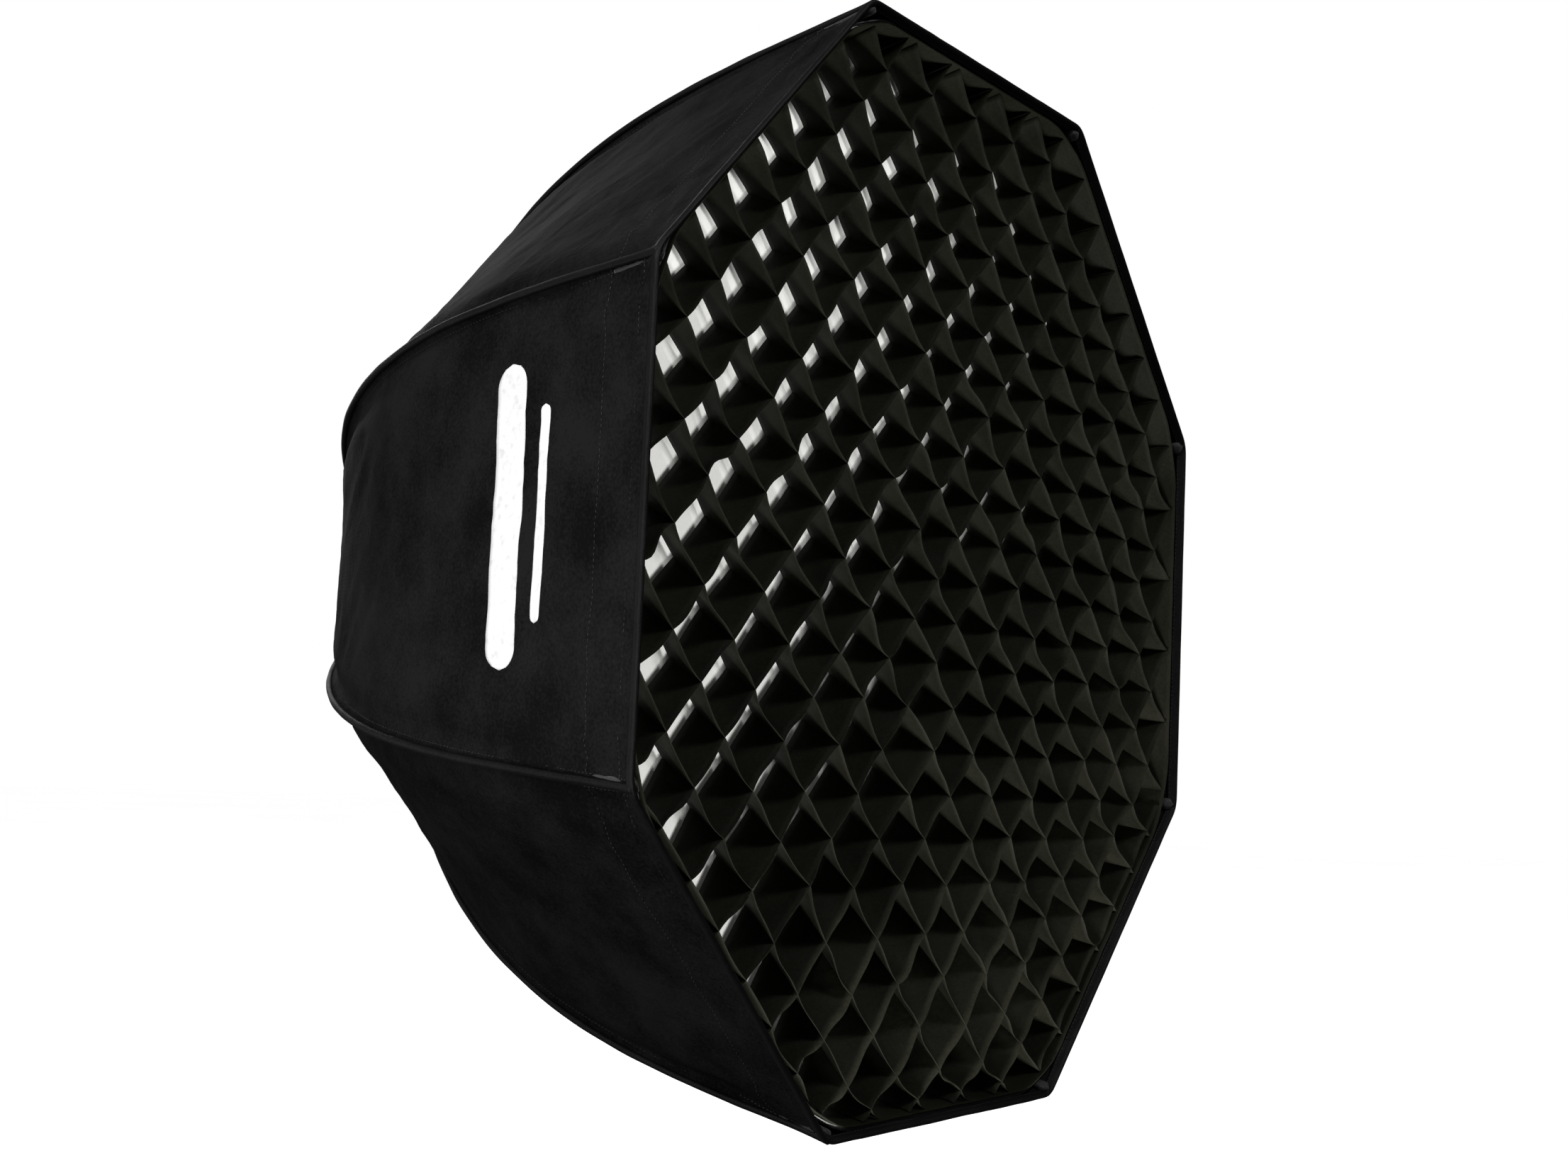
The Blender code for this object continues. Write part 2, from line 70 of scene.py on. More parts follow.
SIDES = 8
HALF_SIDE_ANGLE = pi / SIDES
BACKWARDS = Vector((0.0, 1.0, 0.0))
RIB_ANGLES = [HALF_SIDE_ANGLE + k * 2 * pi / SIDES for k in range(SIDES)]
PANEL_LOW, PANEL_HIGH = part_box("shell_panel_1")
RIM_Y = PANEL_LOW.y
RIM_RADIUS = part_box("shell_panel_4")[0].x * -1 / cos(HALF_SIDE_ANGLE)
REAR_DEPTH = PANEL_HIGH.y - RIM_Y
COLLAR_LOW, COLLAR_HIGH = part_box("rear_collar")
GRID_LOW, GRID_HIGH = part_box("grid_lattice")
DIFFUSER_LOW, DIFFUSER_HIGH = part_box("front_diffuser")
BAFFLE_LOW, BAFFLE_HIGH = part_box("inner_baffle")

# The rib curve, as in the CAD model
REAR_RADIUS = 0.094
RIM_SLOPE = radians(15)
REAR_SLOPE = radians(70)
RIM_HANDLE = 0.16
REAR_HANDLE = 0.35
ROD_INSET = 0.0065
CORNER_CUT = 0.0115
RIM_CORNER = 0.026
REAR_CORNER = 0.006

# Cloth
CLOTH = 0.0008
HEM_CLOTH = 0.0006
WHITE_SHEET = 0.0005
PANEL_ROWS = 84
PANEL_COLUMNS = 46
PANEL_SAG = 0.0045
TROUGH = 0.0035
REAR_TROUGH = 0.0065
CORNER_FOLDS = 0.0030
SLOW_RELIEF = 0.0034
CREASES = 0.0013
QUICK_RELIEF = 0.0005
PUCKER = 0.0004
HEM_RAISE = 0.0005
ROW_SUNK = 0.0005
RIM_WAVE = 0.0006
BLACK_LINING_DEPTH = 0.054
STITCH_PITCH = 0.0042
STITCH_LENGTH = 0.0029
STITCH_WIDTH = 0.0007
STITCH_RISE = 0.00045
STITCH_LIFT = 0.0001
# A stitch's six outline points, as shares of its half length and half width, and its faces. Points 6 and 7
# are the two ends of its raised top.
STITCH_OUTLINE = [(-1.0, 0), (-0.5, 1), (0.5, 1), (1.0, 0), (0.5, -1), (-0.5, -1)]
STITCH_FACES = [(0, 6, 1), (1, 6, 7, 2), (2, 7, 3), (3, 7, 4), (4, 7, 6, 5), (5, 6, 0), (5, 4, 3, 2, 1, 0)]
HEM_ROWS = (0.0145, 0.0490)
HEM_STEPS = 60
SEAM_STEPS = 120
SEAM_AROUND = 12
SEAM_HALF_WIDTH = 0.0034
SEAM_HEIGHT = 0.0028
SEAM_SUNK = 0.0007
SEAM_STITCH_IN = 0.0062
# The hem's section, as depth behind the rim and offset from the shell, before its facing
HEM_SECTION = [(0.0050, 0.0004), (0.0035, 0.0009), (0.0015, 0.0011), (-0.0004, 0.0008), (-0.0014, 0.0),
               (-0.0018, -0.0010), (-0.0014, -0.0019), (-0.0002, -0.0025), (0.0020, -0.0023)]
FACING_END = 0.0070
FACING_STEPS = 5
FACING_ROW = 0.0050
BAND_STEPS = 10

# Grid: strips in two sets. Each strip's front sags below its place, and its rear stays above it.
CELL = 0.0500
STRIP = 0.0004
GRID_INSET = 0.0063
GRID_RISE = 0.0092
GRID_FRONT_Y = GRID_LOW.y + 0.0008
GRID_REAR_Y = GRID_HIGH.y - 0.0008
DROOP = 0.0090
EXTRA_DROOP = 0.0085
BELLY = 0.0016
ROOT_BOW = 0.0008
TWIST = 0.0011
FRONT_DIP = 0.0012
END_GAP = 0.006
WALL_STEPS = 8
DEPTH_STEPS = 6
UP_RIGHT = Vector((sqrt(0.5), 0, sqrt(0.5)))
UP_LEFT = Vector((-sqrt(0.5), 0, sqrt(0.5)))

# Diffuser, baffle and collar
DISC_RINGS = 36
DISC_HOLE = 0.05
DIFFUSER_INSET = 0.0030
BAFFLE_RADIUS = 0.30
BINDING_AROUND = 8
BAFFLE_STRAP_END = 0.379
BAFFLE_STRAP_WIDTH = 0.022
STRAP_HALF = [(-1.0, -0.4), (-0.9, -1.0), (-0.5, -1.0), (0.0, -1.0), (0.5, -1.0), (0.9, -1.0), (1.0, -0.4)]
STRAP_SECTION = STRAP_HALF + [(-side, -depth) for side, depth in STRAP_HALF]
STRAP_STEPS = 26
STRAP_SEWN_SHARE = 0.24
GATHERS = 64
COLLAR_STEPS = 18
COLLAR_ROLL = 0.0020
POCKET_STEPS = 30
POCKET_AROUND = 22

# Body and material slot of the shell's cloth and of the baffle's
SHELL = ("softbox", "black_fabric")
BAFFLE = ("baffle", "white_fabric")

# Printed bars on the left panel: name, depths behind the rim, shares across the panel
PRINT_PANEL = 3
PRINT_BARS = [
    ("printed_bar_broad", (0.133, 0.166), (0.15, 0.80)),
    ("printed_bar_thin", (0.106, 0.116), (0.25, 0.70)),
]
PRINT_LIFT = 0.00035
PRINT_THICKNESS = 0.0003

# Light: the fill from the world, and the sun that lights only the floor
FILL = 0.06
OVERHEAD = 3.6
OVERHEAD_DIRECTION = Vector((0.25, -0.15, 0.9))
OVERHEAD_ANGLE = radians(70)
# Area lights aimed at the rim's centre: name, distance and direction from there, size, watts, and how the
# names of the pieces start that the light falls on. No names means all pieces.
AREA_LIGHTS = [
    ("key", 3.4, (-0.79, 0.10, 0.60), 1.3, 86, ()),
    ("top_front", 3.0, (-0.15, -0.65, 0.75), 0.7, 42, ()),
    ("low_front", 1.2, (-0.18, -0.45, -0.87), 0.25, 40, ("grid_",)),
    ("left_low", 1.0, (-1.25, 0.05, -0.45), 0.35, 6.0, ()),
    ("rear_left", 2.6, (-0.42, 0.89, -0.12), 1.2, 5.5, ()),
    ("white_front", 3.0, (-0.52, -0.83, -0.08), 0.9, 72, ("diffuser_", "front_diffuser_")),
]
BACK_PLACE = Vector((1.8, 2.4, 1.2))
BACK_SIZE = 2.0
BACK_POWER = 25
FLOOR_Z = -0.68
FLOOR_SIZE = 20.0

# Camera, seen from the rim's centre, in rim radii
CAMERA_PLACE = Vector((-3.2447, -1.8148, -0.3525))
CAMERA_FORWARD = Vector((0.8244, 0.5591, 0.0883))
CAMERA_UP = Vector((-0.0972, -0.0139, 0.9952))
CAMERA_LENS = 48.77
SENSOR_WIDTH = 36.0


# --- the shape of the cloth ---


def rib_point(t):
    """(depth, radius) on the rib curve, t = 0 at the rim and 1 at the rear opening."""
    start = Vector((0.0, RIM_RADIUS))
    end = Vector((REAR_DEPTH, REAR_RADIUS))
    start_handle = start + RIM_HANDLE * Vector((cos(RIM_SLOPE), -sin(RIM_SLOPE)))
    end_handle = end - REAR_HANDLE * Vector((cos(REAR_SLOPE), -sin(REAR_SLOPE)))
    s = 1 - t
    return s**3 * start + 3 * s * s * t * start_handle + 3 * s * t * t * end_handle + t**3 * end


def rib_tangent(t):
    step = 1e-3
    return (rib_point(min(t + step, 1.0)) - rib_point(max(t - step, 0.0))).normalized()


def rib_outwards(t):
    """(depth, radius) components of the rib's outward normal."""
    along = rib_tangent(t)
    return Vector((-along.y, along.x))


def outwards_at(t, angle):
    """The rib's outward normal in space."""
    depth_part, radius_part = rib_outwards(t)
    return depth_part * BACKWARDS + radius_part * radial(angle)


def at_depth(depth):
    """The rib curve's parameter at a depth, by halving."""
    low, high = 0.0, 1.0
    for _ in range(30):
        middle = (low + high) / 2
        if rib_point(middle).x < depth:
            low = middle
        else:
            high = middle
    return low


def rib_radius(depth):
    return rib_point(at_depth(depth)).y


def in_space(depth_radius, angle):
    depth, radius = depth_radius
    return Vector((radius * cos(angle), RIM_Y + depth, radius * sin(angle)))


def radial(angle):
    return Vector((cos(angle), 0.0, sin(angle)))


def sideways(angle):
    return Vector((-sin(angle), 0.0, cos(angle)))


def smooth_step(x):
    x = min(max(x, 0.0), 1.0)
    return x * x * (3 - 2 * x)


def noise_at(x, y, z):
    return noise.noise(Vector((x, y, z)))


def slow_noise_at(x, y, z):
    """Noise in three octaves."""
    return noise.fractal(Vector((x, y, z)), 1.0, 2.0, 3)


def panel_normal(t, k):
    """The outward normal of the flat chord surface of panel k."""
    middle = RIB_ANGLES[k] + HALF_SIDE_ANGLE
    depth_part, radius_part = rib_outwards(t)
    normal = depth_part * cos(HALF_SIDE_ANGLE) * BACKWARDS + radius_part * radial(middle)
    return normal.normalized()


def corner_folds(depth, side, width, seed):
    """Soft folds that fan out from the two rim corners of a panel, where the rods pull."""
    height = 0.0
    for corner in (0.0, width):
        away = hypot(depth, side - corner)
        angle = atan2(abs(side - corner), depth + 1e-6)
        wave = sin(angle * 13 + seed + corner * 9) * sin(angle * 7 + 2 * seed)
        height += CORNER_FOLDS * wave * exp(-away / 0.11) * smooth_step(away / 0.03)
    return height


def seam_trough(depth, edge, k):
    """The cloth dips on both sides of each seam, so that the seam stands up as a ridge."""
    along = 1 + 0.35 * noise_at(depth * 14, k * 3.3, 2.2)
    rise = 1 - smooth_step(edge / 0.0075)
    fade = 1 - smooth_step((edge - 0.010) / 0.026)
    deep = TROUGH + (REAR_TROUGH - TROUGH) * smooth_step((depth - 0.05) / 0.05)
    return -deep * along * (1 - rise) * fade


def panel_relief(t, across, k):
    """How far the cloth of panel k stands off its flat chord surface."""
    depth, radius = rib_point(t)
    width = 2 * radius * sin(HALF_SIDE_ANGLE)
    side = across * width
    edge = min(side, width - side)
    from_rear = (REAR_DEPTH - depth) / 0.10
    share = smooth_step((depth - 0.06) / 0.22) * smooth_step(from_rear + 0.2)
    sag = -PANEL_SAG * share * (4 * across * (1 - across)) ** 0.8
    seed = 3.1 * k
    slow = SLOW_RELIEF * slow_noise_at(depth * 5.0, side * 5.0, seed)
    diagonal = noise_at((depth + side) * 9.0, (depth - side) * 22.0, seed + 7.7)
    creases = CREASES * (1 - abs(diagonal) * 2)
    quick = QUICK_RELIEF * slow_noise_at(depth * 46.0, side * 46.0, seed + 4.0)
    near_seam = smooth_step(edge / 0.022)
    pucker = PUCKER * sin(depth * 410 + 3 * noise_at(depth * 30, k, 0.5))
    pucker *= exp(-edge / 0.012) * smooth_step(edge / 0.004)
    relief = slow + creases + quick + corner_folds(depth, side, width, seed)
    stiff = 1 - smooth_step((depth - 0.047) / 0.035)
    relief += (max(relief, -0.0003) - relief) * stiff
    near_rim = smooth_step((depth - 0.002) / 0.03)
    relief = relief * near_rim * near_seam + sag + pucker
    relief += seam_trough(depth, edge, k) * smooth_step(depth / 0.02) * smooth_step(from_rear / 0.4)
    hem = HEM_RAISE * (1 - smooth_step((depth - HEM_ROWS[1] - 0.001) / 0.002))
    for row in HEM_ROWS:
        hem -= ROW_SUNK * exp(-(((depth - row) / 0.0018) ** 2))
    rim_wave = RIM_WAVE * abs(noise_at(side * 24.0, depth * 8.0, seed + 20))
    return relief + (hem + rim_wave) * near_seam


def corner_radius(depth):
    """The shell's corners are round at the rim, over the rod caps, and sharper behind."""
    return REAR_CORNER + (RIM_CORNER - REAR_CORNER) * (1 - smooth_step(depth / 0.10))


def panel_place(t, across, k, lift=0.0):
    """A point on the outer face of panel k, lifted off it by a small height."""
    depth, radius = rib_point(t)
    first = in_space((depth, radius), RIB_ANGLES[k])
    last = in_space((depth, radius), RIB_ANGLES[k] + 2 * HALF_SIDE_ANGLE)
    normal = panel_normal(t, k)
    width = (last - first).length
    edge = min(across, 1 - across) * width
    bend = corner_radius(depth)
    tangent = bend * tan(HALF_SIDE_ANGLE)
    drop = 0.0
    if edge < tangent:
        turn = HALF_SIDE_ANGLE * (1 - edge / tangent)
        moved = (tangent - bend * sin(turn) - edge) / width
        across += moved if across < 0.5 else -moved
        drop = bend * (1 - cos(turn))
    return first.lerp(last, across) + (panel_relief(t, across, k) + lift - drop) * normal


# --- mesh helpers ---


def mesh_of_rows(name, rows, closed=False):
    """A quad mesh through rows of points, with a UV map in metres. A closed row joins its two ends."""
    columns = len(rows[0])
    points = [tuple(p) for row in rows for p in row]
    faces = []
    for i in range(len(rows) - 1):
        below = i * columns
        above = below + columns
        for j in range(columns if closed else columns - 1):
            right = (j + 1) % columns
            faces.append((below + j, below + right, above + right, above + j))
    mesh = bpy.data.meshes.new(name)
    mesh.from_pydata(points, [], faces)
    across = [0.0]
    for first, second in zip(rows[0], rows[0][1:] + rows[0][:1]):
        across.append(across[-1] + (second - first).length)
    along = [0.0]
    for first, second in zip(rows, rows[1:]):
        along.append(along[-1] + (second[0] - first[0]).length)
    layer = mesh.uv_layers.new(name="cloth")
    for index, face in enumerate(faces):
        i, j = divmod(index, columns if closed else columns - 1)
        corners = ((j, i), (j + 1, i), (j + 1, i + 1), (j, i + 1))
        for loop, (u, v) in zip(mesh.polygons[index].loop_indices, corners):
            layer.data[loop].uv = (across[u], along[v])
    mesh.shade_smooth()
    return mesh


def add_piece(name, mesh, material, body, slot, replaced=()):
    piece = bpy.data.objects.new(name, mesh)
    bpy.context.scene.collection.objects.link(piece)
    if not mesh.materials:
        mesh.materials.append(material)
    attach(piece, body)
    if replaced:
        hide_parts(*replaced)
    return piece


def thicken(piece, thickness, inner_material=None, offset=-1.0):
    solidify = piece.modifiers.new("thickness", "SOLIDIFY")
    solidify.thickness = thickness
    solidify.offset = offset
    solidify.use_even_offset = False
    if inner_material is not None:
        piece.data.materials.append(inner_material)
        solidify.material_offset = 1


def rework(mesh, change):
    """Lets a function change the mesh through bmesh."""
    shape = bmesh.new()
    shape.from_mesh(mesh)
    change(shape)
    shape.to_mesh(mesh)
    shape.free()


def fill_holes(mesh, chosen=lambda place: True):
    """Closes the open edges of a mesh that start at a chosen place."""
    def change(shape):
        edges = [edge for edge in shape.edges if edge.is_boundary and chosen(edge.verts[0].co)]
        bmesh.ops.holes_fill(shape, edges=edges)

    rework(mesh, change)


def face_outwards(mesh):
    rework(mesh, lambda shape: bmesh.ops.recalc_face_normals(shape, faces=shape.faces))


def stitches(name, runs, material, body, slot):
    """Short raised stitches along runs of (place, normal), all in one mesh."""
    points = []
    faces = []
    for run in runs:
        walked = 0.0
        next_stitch = 0.0
        for (a, normal), (b, _) in zip(run, run[1:]):
            along = b - a
            length = along.length
            if length < 1e-9:
                continue
            along /= length
            beside = along.cross(normal).normalized()
            while next_stitch < walked + length:
                centre = a + (next_stitch - walked) * along
                base = len(points)
                half = along * (STITCH_LENGTH / 2)
                width = beside * (STITCH_WIDTH / 2)
                rise = normal * STITCH_RISE
                for reach, aside in STITCH_OUTLINE:
                    points.append(centre + reach * half + aside * width)
                points += [centre - half * 0.5 + rise, centre + half * 0.5 + rise]
                faces += [tuple(base + corner for corner in face) for face in STITCH_FACES]
                next_stitch += STITCH_PITCH
            walked += length
    mesh = bpy.data.meshes.new(name)
    mesh.from_pydata([tuple(p) for p in points], [], faces)
    face_outwards(mesh)
    mesh.shade_smooth()
    add_piece(name, mesh, material, body, slot)


# --- materials ---


class Nodes:
    """A short way to write a material's node tree."""

    def __init__(self, name):
        self.material = bpy.data.materials.new(name)
        self.material.use_nodes = True
        self.tree = self.material.node_tree
        self.shader = self.tree.nodes["Principled BSDF"]

    def set(self, **values):
        for key, value in values.items():
            self.shader.inputs[key.replace("_", " ")].default_value = value
        return self

    def node(self, kind, inputs=(), **settings):
        made = self.tree.nodes.new(kind)
        for key, value in settings.items():
            setattr(made, key, value)
        for key, value in dict(inputs).items():
            if isinstance(value, bpy.types.NodeSocket):
                self.tree.links.new(value, made.inputs[key])
            else:
                made.inputs[key].default_value = value
        return made

    def link(self, source, target):
        self.tree.links.new(source, self.shader.inputs[target])

    def place(self):
        return self.node("ShaderNodeTexCoord").outputs["Object"]

    def noise(self, vector, scale, detail=2.0, roughness=0.5, distortion=0.0):
        inputs = {"Vector": vector, "Scale": scale, "Detail": detail, "Roughness": roughness,
                  "Distortion": distortion}
        return self.node("ShaderNodeTexNoise", inputs).outputs[0]

    def bump(self, height, strength, distance, below=None):
        """Bump from a height, on top of the bump below when there is one."""
        inputs = {"Height": height, "Strength": strength, "Distance": distance}
        if below is not None:
            inputs["Normal"] = below
        return self.node("ShaderNodeBump", inputs).outputs[0]

    def maths(self, operation, a, b):
        return self.node("ShaderNodeMath", {0: a, 1: b}, operation=operation).outputs[0]

    def scaled(self, value, share, base):
        return self.maths("ADD", self.maths("MULTIPLY", value, share), base)

    def colour(self, value, low, high, low_colour, high_colour):
        """Sets the base colour to a ramp between two colours."""
        made = self.node("ShaderNodeValToRGB", {0: value})
        first, last = made.color_ramp.elements
        first.position, last.position = low, high
        first.color, last.color = (*low_colour, 1), (*high_colour, 1)
        self.link(made.outputs[0], "Base Color")


def weave_height(nodes, pitch):
    """A plain weave: two crossed sets of yarns, over and under each other."""
    uv = nodes.node("ShaderNodeUVMap", uv_map="cloth").outputs[0]
    inputs = {"Vector": uv, "Scale": 0.314 / pitch, "Distortion": 0.15}
    warp = nodes.node("ShaderNodeTexWave", inputs, wave_type="BANDS", bands_direction="X").outputs["Fac"]
    weft = nodes.node("ShaderNodeTexWave", inputs, wave_type="BANDS", bands_direction="Y").outputs["Fac"]
    return nodes.maths("MAXIMUM", warp, weft)


def cloth_material(name, dark, light, roughness, specular, pitch, weave, crumple, sheen=0.0):
    """Woven cloth: yarn bump, slow crumples, and a slight unevenness of colour and gloss."""
    nodes = Nodes(name)
    place = nodes.place()
    patches = nodes.noise(place, 13.0, 6.0, 0.6)
    fine = nodes.noise(place, 420.0, 3.0)
    mixed = nodes.scaled(patches, 0.65, nodes.maths("MULTIPLY", fine, 0.35))
    nodes.colour(mixed, 0.40, 0.60, dark, light)
    nodes.link(nodes.scaled(patches, 0.16, roughness - 0.08), "Roughness")
    large = nodes.bump(nodes.noise(place, 38.0, 5.0, 0.55, 0.6), crumple, 0.004)
    nodes.link(nodes.bump(weave_height(nodes, pitch), weave, pitch * 0.25, large), "Normal")
    return nodes.set(Sheen_Weight=sheen, Specular_IOR_Level=specular).material


def thread_material():
    nodes = Nodes("thread")
    twist = nodes.noise(nodes.place(), 900.0)
    nodes.colour(twist, 0.3, 0.7, (0.012, 0.012, 0.013), (0.035, 0.035, 0.037))
    nodes.link(nodes.bump(twist, 0.5, 0.0003), "Normal")
    return nodes.set(Roughness=0.5, Specular_IOR_Level=0.35).material


def print_material():
    """White screen print, thin enough for the weave to show."""
    nodes = Nodes("white_print")
    worn = nodes.noise(nodes.place(), 160.0, 5.0)
    nodes.colour(worn, 0.30, 0.48, (0.70, 0.70, 0.70), (0.84, 0.84, 0.84))
    nodes.link(nodes.bump(weave_height(nodes, 0.0009), 0.25, 0.0002), "Normal")
    return nodes.set(Roughness=0.55).material


def silver_material():
    """Silver-coated lining with a fine pebble."""
    nodes = Nodes("silver_lining")
    place = nodes.place()
    pebble = nodes.node("ShaderNodeTexVoronoi", {"Vector": place, "Scale": 330.0}).outputs["Distance"]
    crumple = nodes.noise(place, 24.0, 6.0, distortion=0.8)
    nodes.colour(crumple, 0.3, 0.7, (0.56, 0.57, 0.58), (0.76, 0.77, 0.78))
    nodes.link(nodes.scaled(crumple, 0.22, 0.24), "Roughness")
    nodes.link(nodes.bump(pebble, 0.35, 0.0008, nodes.bump(crumple, 0.5, 0.006)), "Normal")
    return nodes.set(Metallic=0.85).material


def napped_material():
    """The loops of hook-and-loop tape."""
    nodes = Nodes("napped_tape")
    nap = nodes.noise(nodes.place(), 1400.0, 4.0, 0.75)
    nodes.colour(nap, 0.35, 0.7, (0.006, 0.006, 0.007), (0.03, 0.03, 0.032))
    nodes.link(nodes.bump(nap, 0.8, 0.0012), "Normal")
    return nodes.set(Roughness=0.95, Sheen_Weight=0.5, Specular_IOR_Level=0.2).material


def metal_material(name, low, high, roughness, scratch_scale=240.0, metallic=1.0):
    """Metal or hard paint: slow marks in the colour and streaks in the gloss."""
    nodes = Nodes(name)
    place = nodes.place()
    stretched = nodes.node("ShaderNodeMapping", {"Vector": place, "Scale": (1.0, 9.0, 1.0)}).outputs[0]
    streaks = nodes.noise(stretched, scratch_scale, 5.0, 0.7)
    nodes.colour(nodes.noise(place, 18.0, 6.0), 0.35, 0.65, low, high)
    nodes.link(nodes.scaled(streaks, 0.25, roughness - 0.12), "Roughness")
    nodes.link(nodes.bump(streaks, 0.12, 0.0004), "Normal")
    return nodes.set(Metallic=metallic).material


def plastic_material(name, low, high, roughness):
    nodes = Nodes(name)
    place = nodes.place()
    dust = nodes.noise(place, 30.0, 6.0)
    nodes.colour(dust, 0.35, 0.7, low, high)
    nodes.link(nodes.scaled(dust, 0.2, roughness - 0.1), "Roughness")
    nodes.link(nodes.bump(nodes.noise(place, 700.0, 3.0), 0.2, 0.0003), "Normal")
    return nodes.material


def floor_material():
    nodes = Nodes("pale_floor")
    mottle = nodes.noise(nodes.place(), 0.6)
    nodes.colour(mottle, 0.3, 0.7, (0.885, 0.885, 0.885), (0.90, 0.90, 0.90))
    return nodes.set(Roughness=0.9, Specular_IOR_Level=0.1).material


BLACK_CLOTH = cloth_material("black_shell_cloth", (0.0020, 0.0020, 0.0022), (0.0098, 0.0098, 0.0102),
                             roughness=0.70, specular=0.05,
                             pitch=0.0009, weave=0.35, crumple=0.60)
SEAM_CLOTH = cloth_material("black_seam_cloth", (0.0026, 0.0026, 0.0027), (0.0060, 0.0060, 0.0062),
                            roughness=0.46, specular=0.12,
                            pitch=0.0009, weave=0.5, crumple=0.35)
GRID_CLOTH = cloth_material("black_grid_cloth", (0.0058, 0.0059, 0.0040), (0.0105, 0.0107, 0.0074),
                            roughness=0.60, specular=0.03,
                            pitch=0.0006, weave=0.12, crumple=0.16)
WHITE_CLOTH = cloth_material("white_diffusion_cloth", (0.80, 0.80, 0.765), (0.86, 0.86, 0.83),
                             roughness=0.80, specular=0.30, sheen=0.15,
                             pitch=0.0008, weave=0.25, crumple=0.10)
WEBBING = cloth_material("black_webbing", (0.008, 0.008, 0.009), (0.016, 0.016, 0.017),
                         roughness=0.60, specular=0.35, sheen=0.2,
                         pitch=0.0016, weave=0.8, crumple=0.15)
SILVER = silver_material()
THREAD = thread_material()
PRINT = print_material()
NAP = napped_material()
STEEL = metal_material("plated_steel", (0.55, 0.55, 0.56), (0.68, 0.68, 0.69), 0.30)
RING_PAINT = metal_material("satin_black_paint", (0.018, 0.018, 0.019), (0.032, 0.032, 0.034), 0.45,
                            scratch_scale=420.0, metallic=0.0)
ROD_FINISH = metal_material("black_rod", (0.02, 0.02, 0.021), (0.035, 0.035, 0.036), 0.36,
                            scratch_scale=300.0, metallic=0.0)
PLASTIC = plastic_material("black_moulding", (0.016, 0.016, 0.017), (0.030, 0.030, 0.032), 0.48)


# --- shell ---


def make_panels():
    for k in range(SIDES):
        rows = []
        for i in range(PANEL_ROWS + 1):
            t = 1 - i / PANEL_ROWS
            rows.append([panel_place(t, j / PANEL_COLUMNS, k) for j in range(PANEL_COLUMNS + 1)])
        name = f"panel_cloth_{k + 1}"
        mesh = mesh_of_rows(name, rows)
        piece = add_piece(name, mesh, BLACK_CLOTH, *SHELL, [f"shell_panel_{k + 1}"])
        thicken(piece, CLOTH, SILVER)
        black_inside_near_rim(mesh)


def black_inside_near_rim(mesh):
    """The lining is silver, but black in front of the diffuser. Slots 1 and 3 are the inner faces."""
    mesh.materials.append(BLACK_CLOTH)
    mesh.materials.append(BLACK_CLOTH)
    for face in mesh.polygons:
        if face.center.y < RIM_Y + BLACK_LINING_DEPTH:
            face.material_index = 2


def make_hem_stitching():
    for k in range(SIDES):
        runs = []
        for depth in HEM_ROWS:
            t = at_depth(depth)
            normal = panel_normal(t, k)
            run = []
            for j in range(HEM_STEPS + 1):
                across = 0.012 + 0.976 * j / HEM_STEPS
                run.append((panel_place(t, across, k, STITCH_LIFT), normal))
            runs.append(run)
        stitches(f"hem_stitching_{k + 1}", runs, THREAD, *SHELL)


def make_seams():
    """The felled seam over each rod: a low rounded ridge, with a row of stitches on both sides."""
    for k, angle in enumerate(RIB_ANGLES):
        rows = []
        left = []
        right = []
        for i in range(SEAM_STEPS + 1):
            t = i / SEAM_STEPS
            outwards = outwards_at(t, angle)
            beside = sideways(angle)
            depth = rib_point(t).x
            round_drop = corner_radius(depth) * (1 / cos(HALF_SIDE_ANGLE) - 1)
            place = in_space(rib_point(t), angle) - round_drop * outwards
            half_width = SEAM_HALF_WIDTH + 0.0004 * noise_at(depth * 60, k, 9.1)
            height = SEAM_HEIGHT + 0.0005 * noise_at(depth * 35, k * 2.7, 1.3)
            drift = 0.0006 * noise_at(depth * 12, k * 1.9, 5.5)
            row = []
            for j in range(SEAM_AROUND):
                phi = 2 * pi * j / SEAM_AROUND
                row.append(place + (drift + half_width * cos(phi)) * beside
                           + (height * sin(phi) - SEAM_SUNK) * outwards)
            rows.append(row)
            width = 2 * rib_point(t).y * sin(HALF_SIDE_ANGLE)
            step_in = min(SEAM_STITCH_IN / width, 0.3)
            left.append((panel_place(t, step_in, k, STITCH_LIFT), panel_normal(t, k)))
            before = (k - 1) % SIDES
            right.append((panel_place(t, 1 - step_in, before, STITCH_LIFT), panel_normal(t, before)))
        name = f"seam_ridge_{k + 1}"
        mesh = mesh_of_rows(name, rows, closed=True)
        fill_holes(mesh)
        face_outwards(mesh)
        add_piece(name, mesh, SEAM_CLOTH, *SHELL)
        stitches(f"seam_stitching_{k + 1}", [left, right], THREAD, *SHELL)


def rounded_octagon(inradius, corner, per_side=26, per_corner=7):
    """(place, outward normal) around an octagon with round corners, in the XZ plane."""
    outline = []
    centre = inradius / cos(HALF_SIDE_ANGLE) - corner / cos(HALF_SIDE_ANGLE)
    for angle in RIB_ANGLES:
        for i in range(per_corner + 1):
            turn = angle - HALF_SIDE_ANGLE + 2 * HALF_SIDE_ANGLE * i / per_corner
            outline.append((centre * radial(angle) + corner * radial(turn), radial(turn)))
        start = outline[-1][0]
        middle = angle + HALF_SIDE_ANGLE
        next_angle = angle + 2 * HALF_SIDE_ANGLE
        end = centre * radial(next_angle) + corner * radial(middle)
        for i in range(1, per_side):
            outline.append((start.lerp(end, i / per_side), radial(middle)))
    return outline


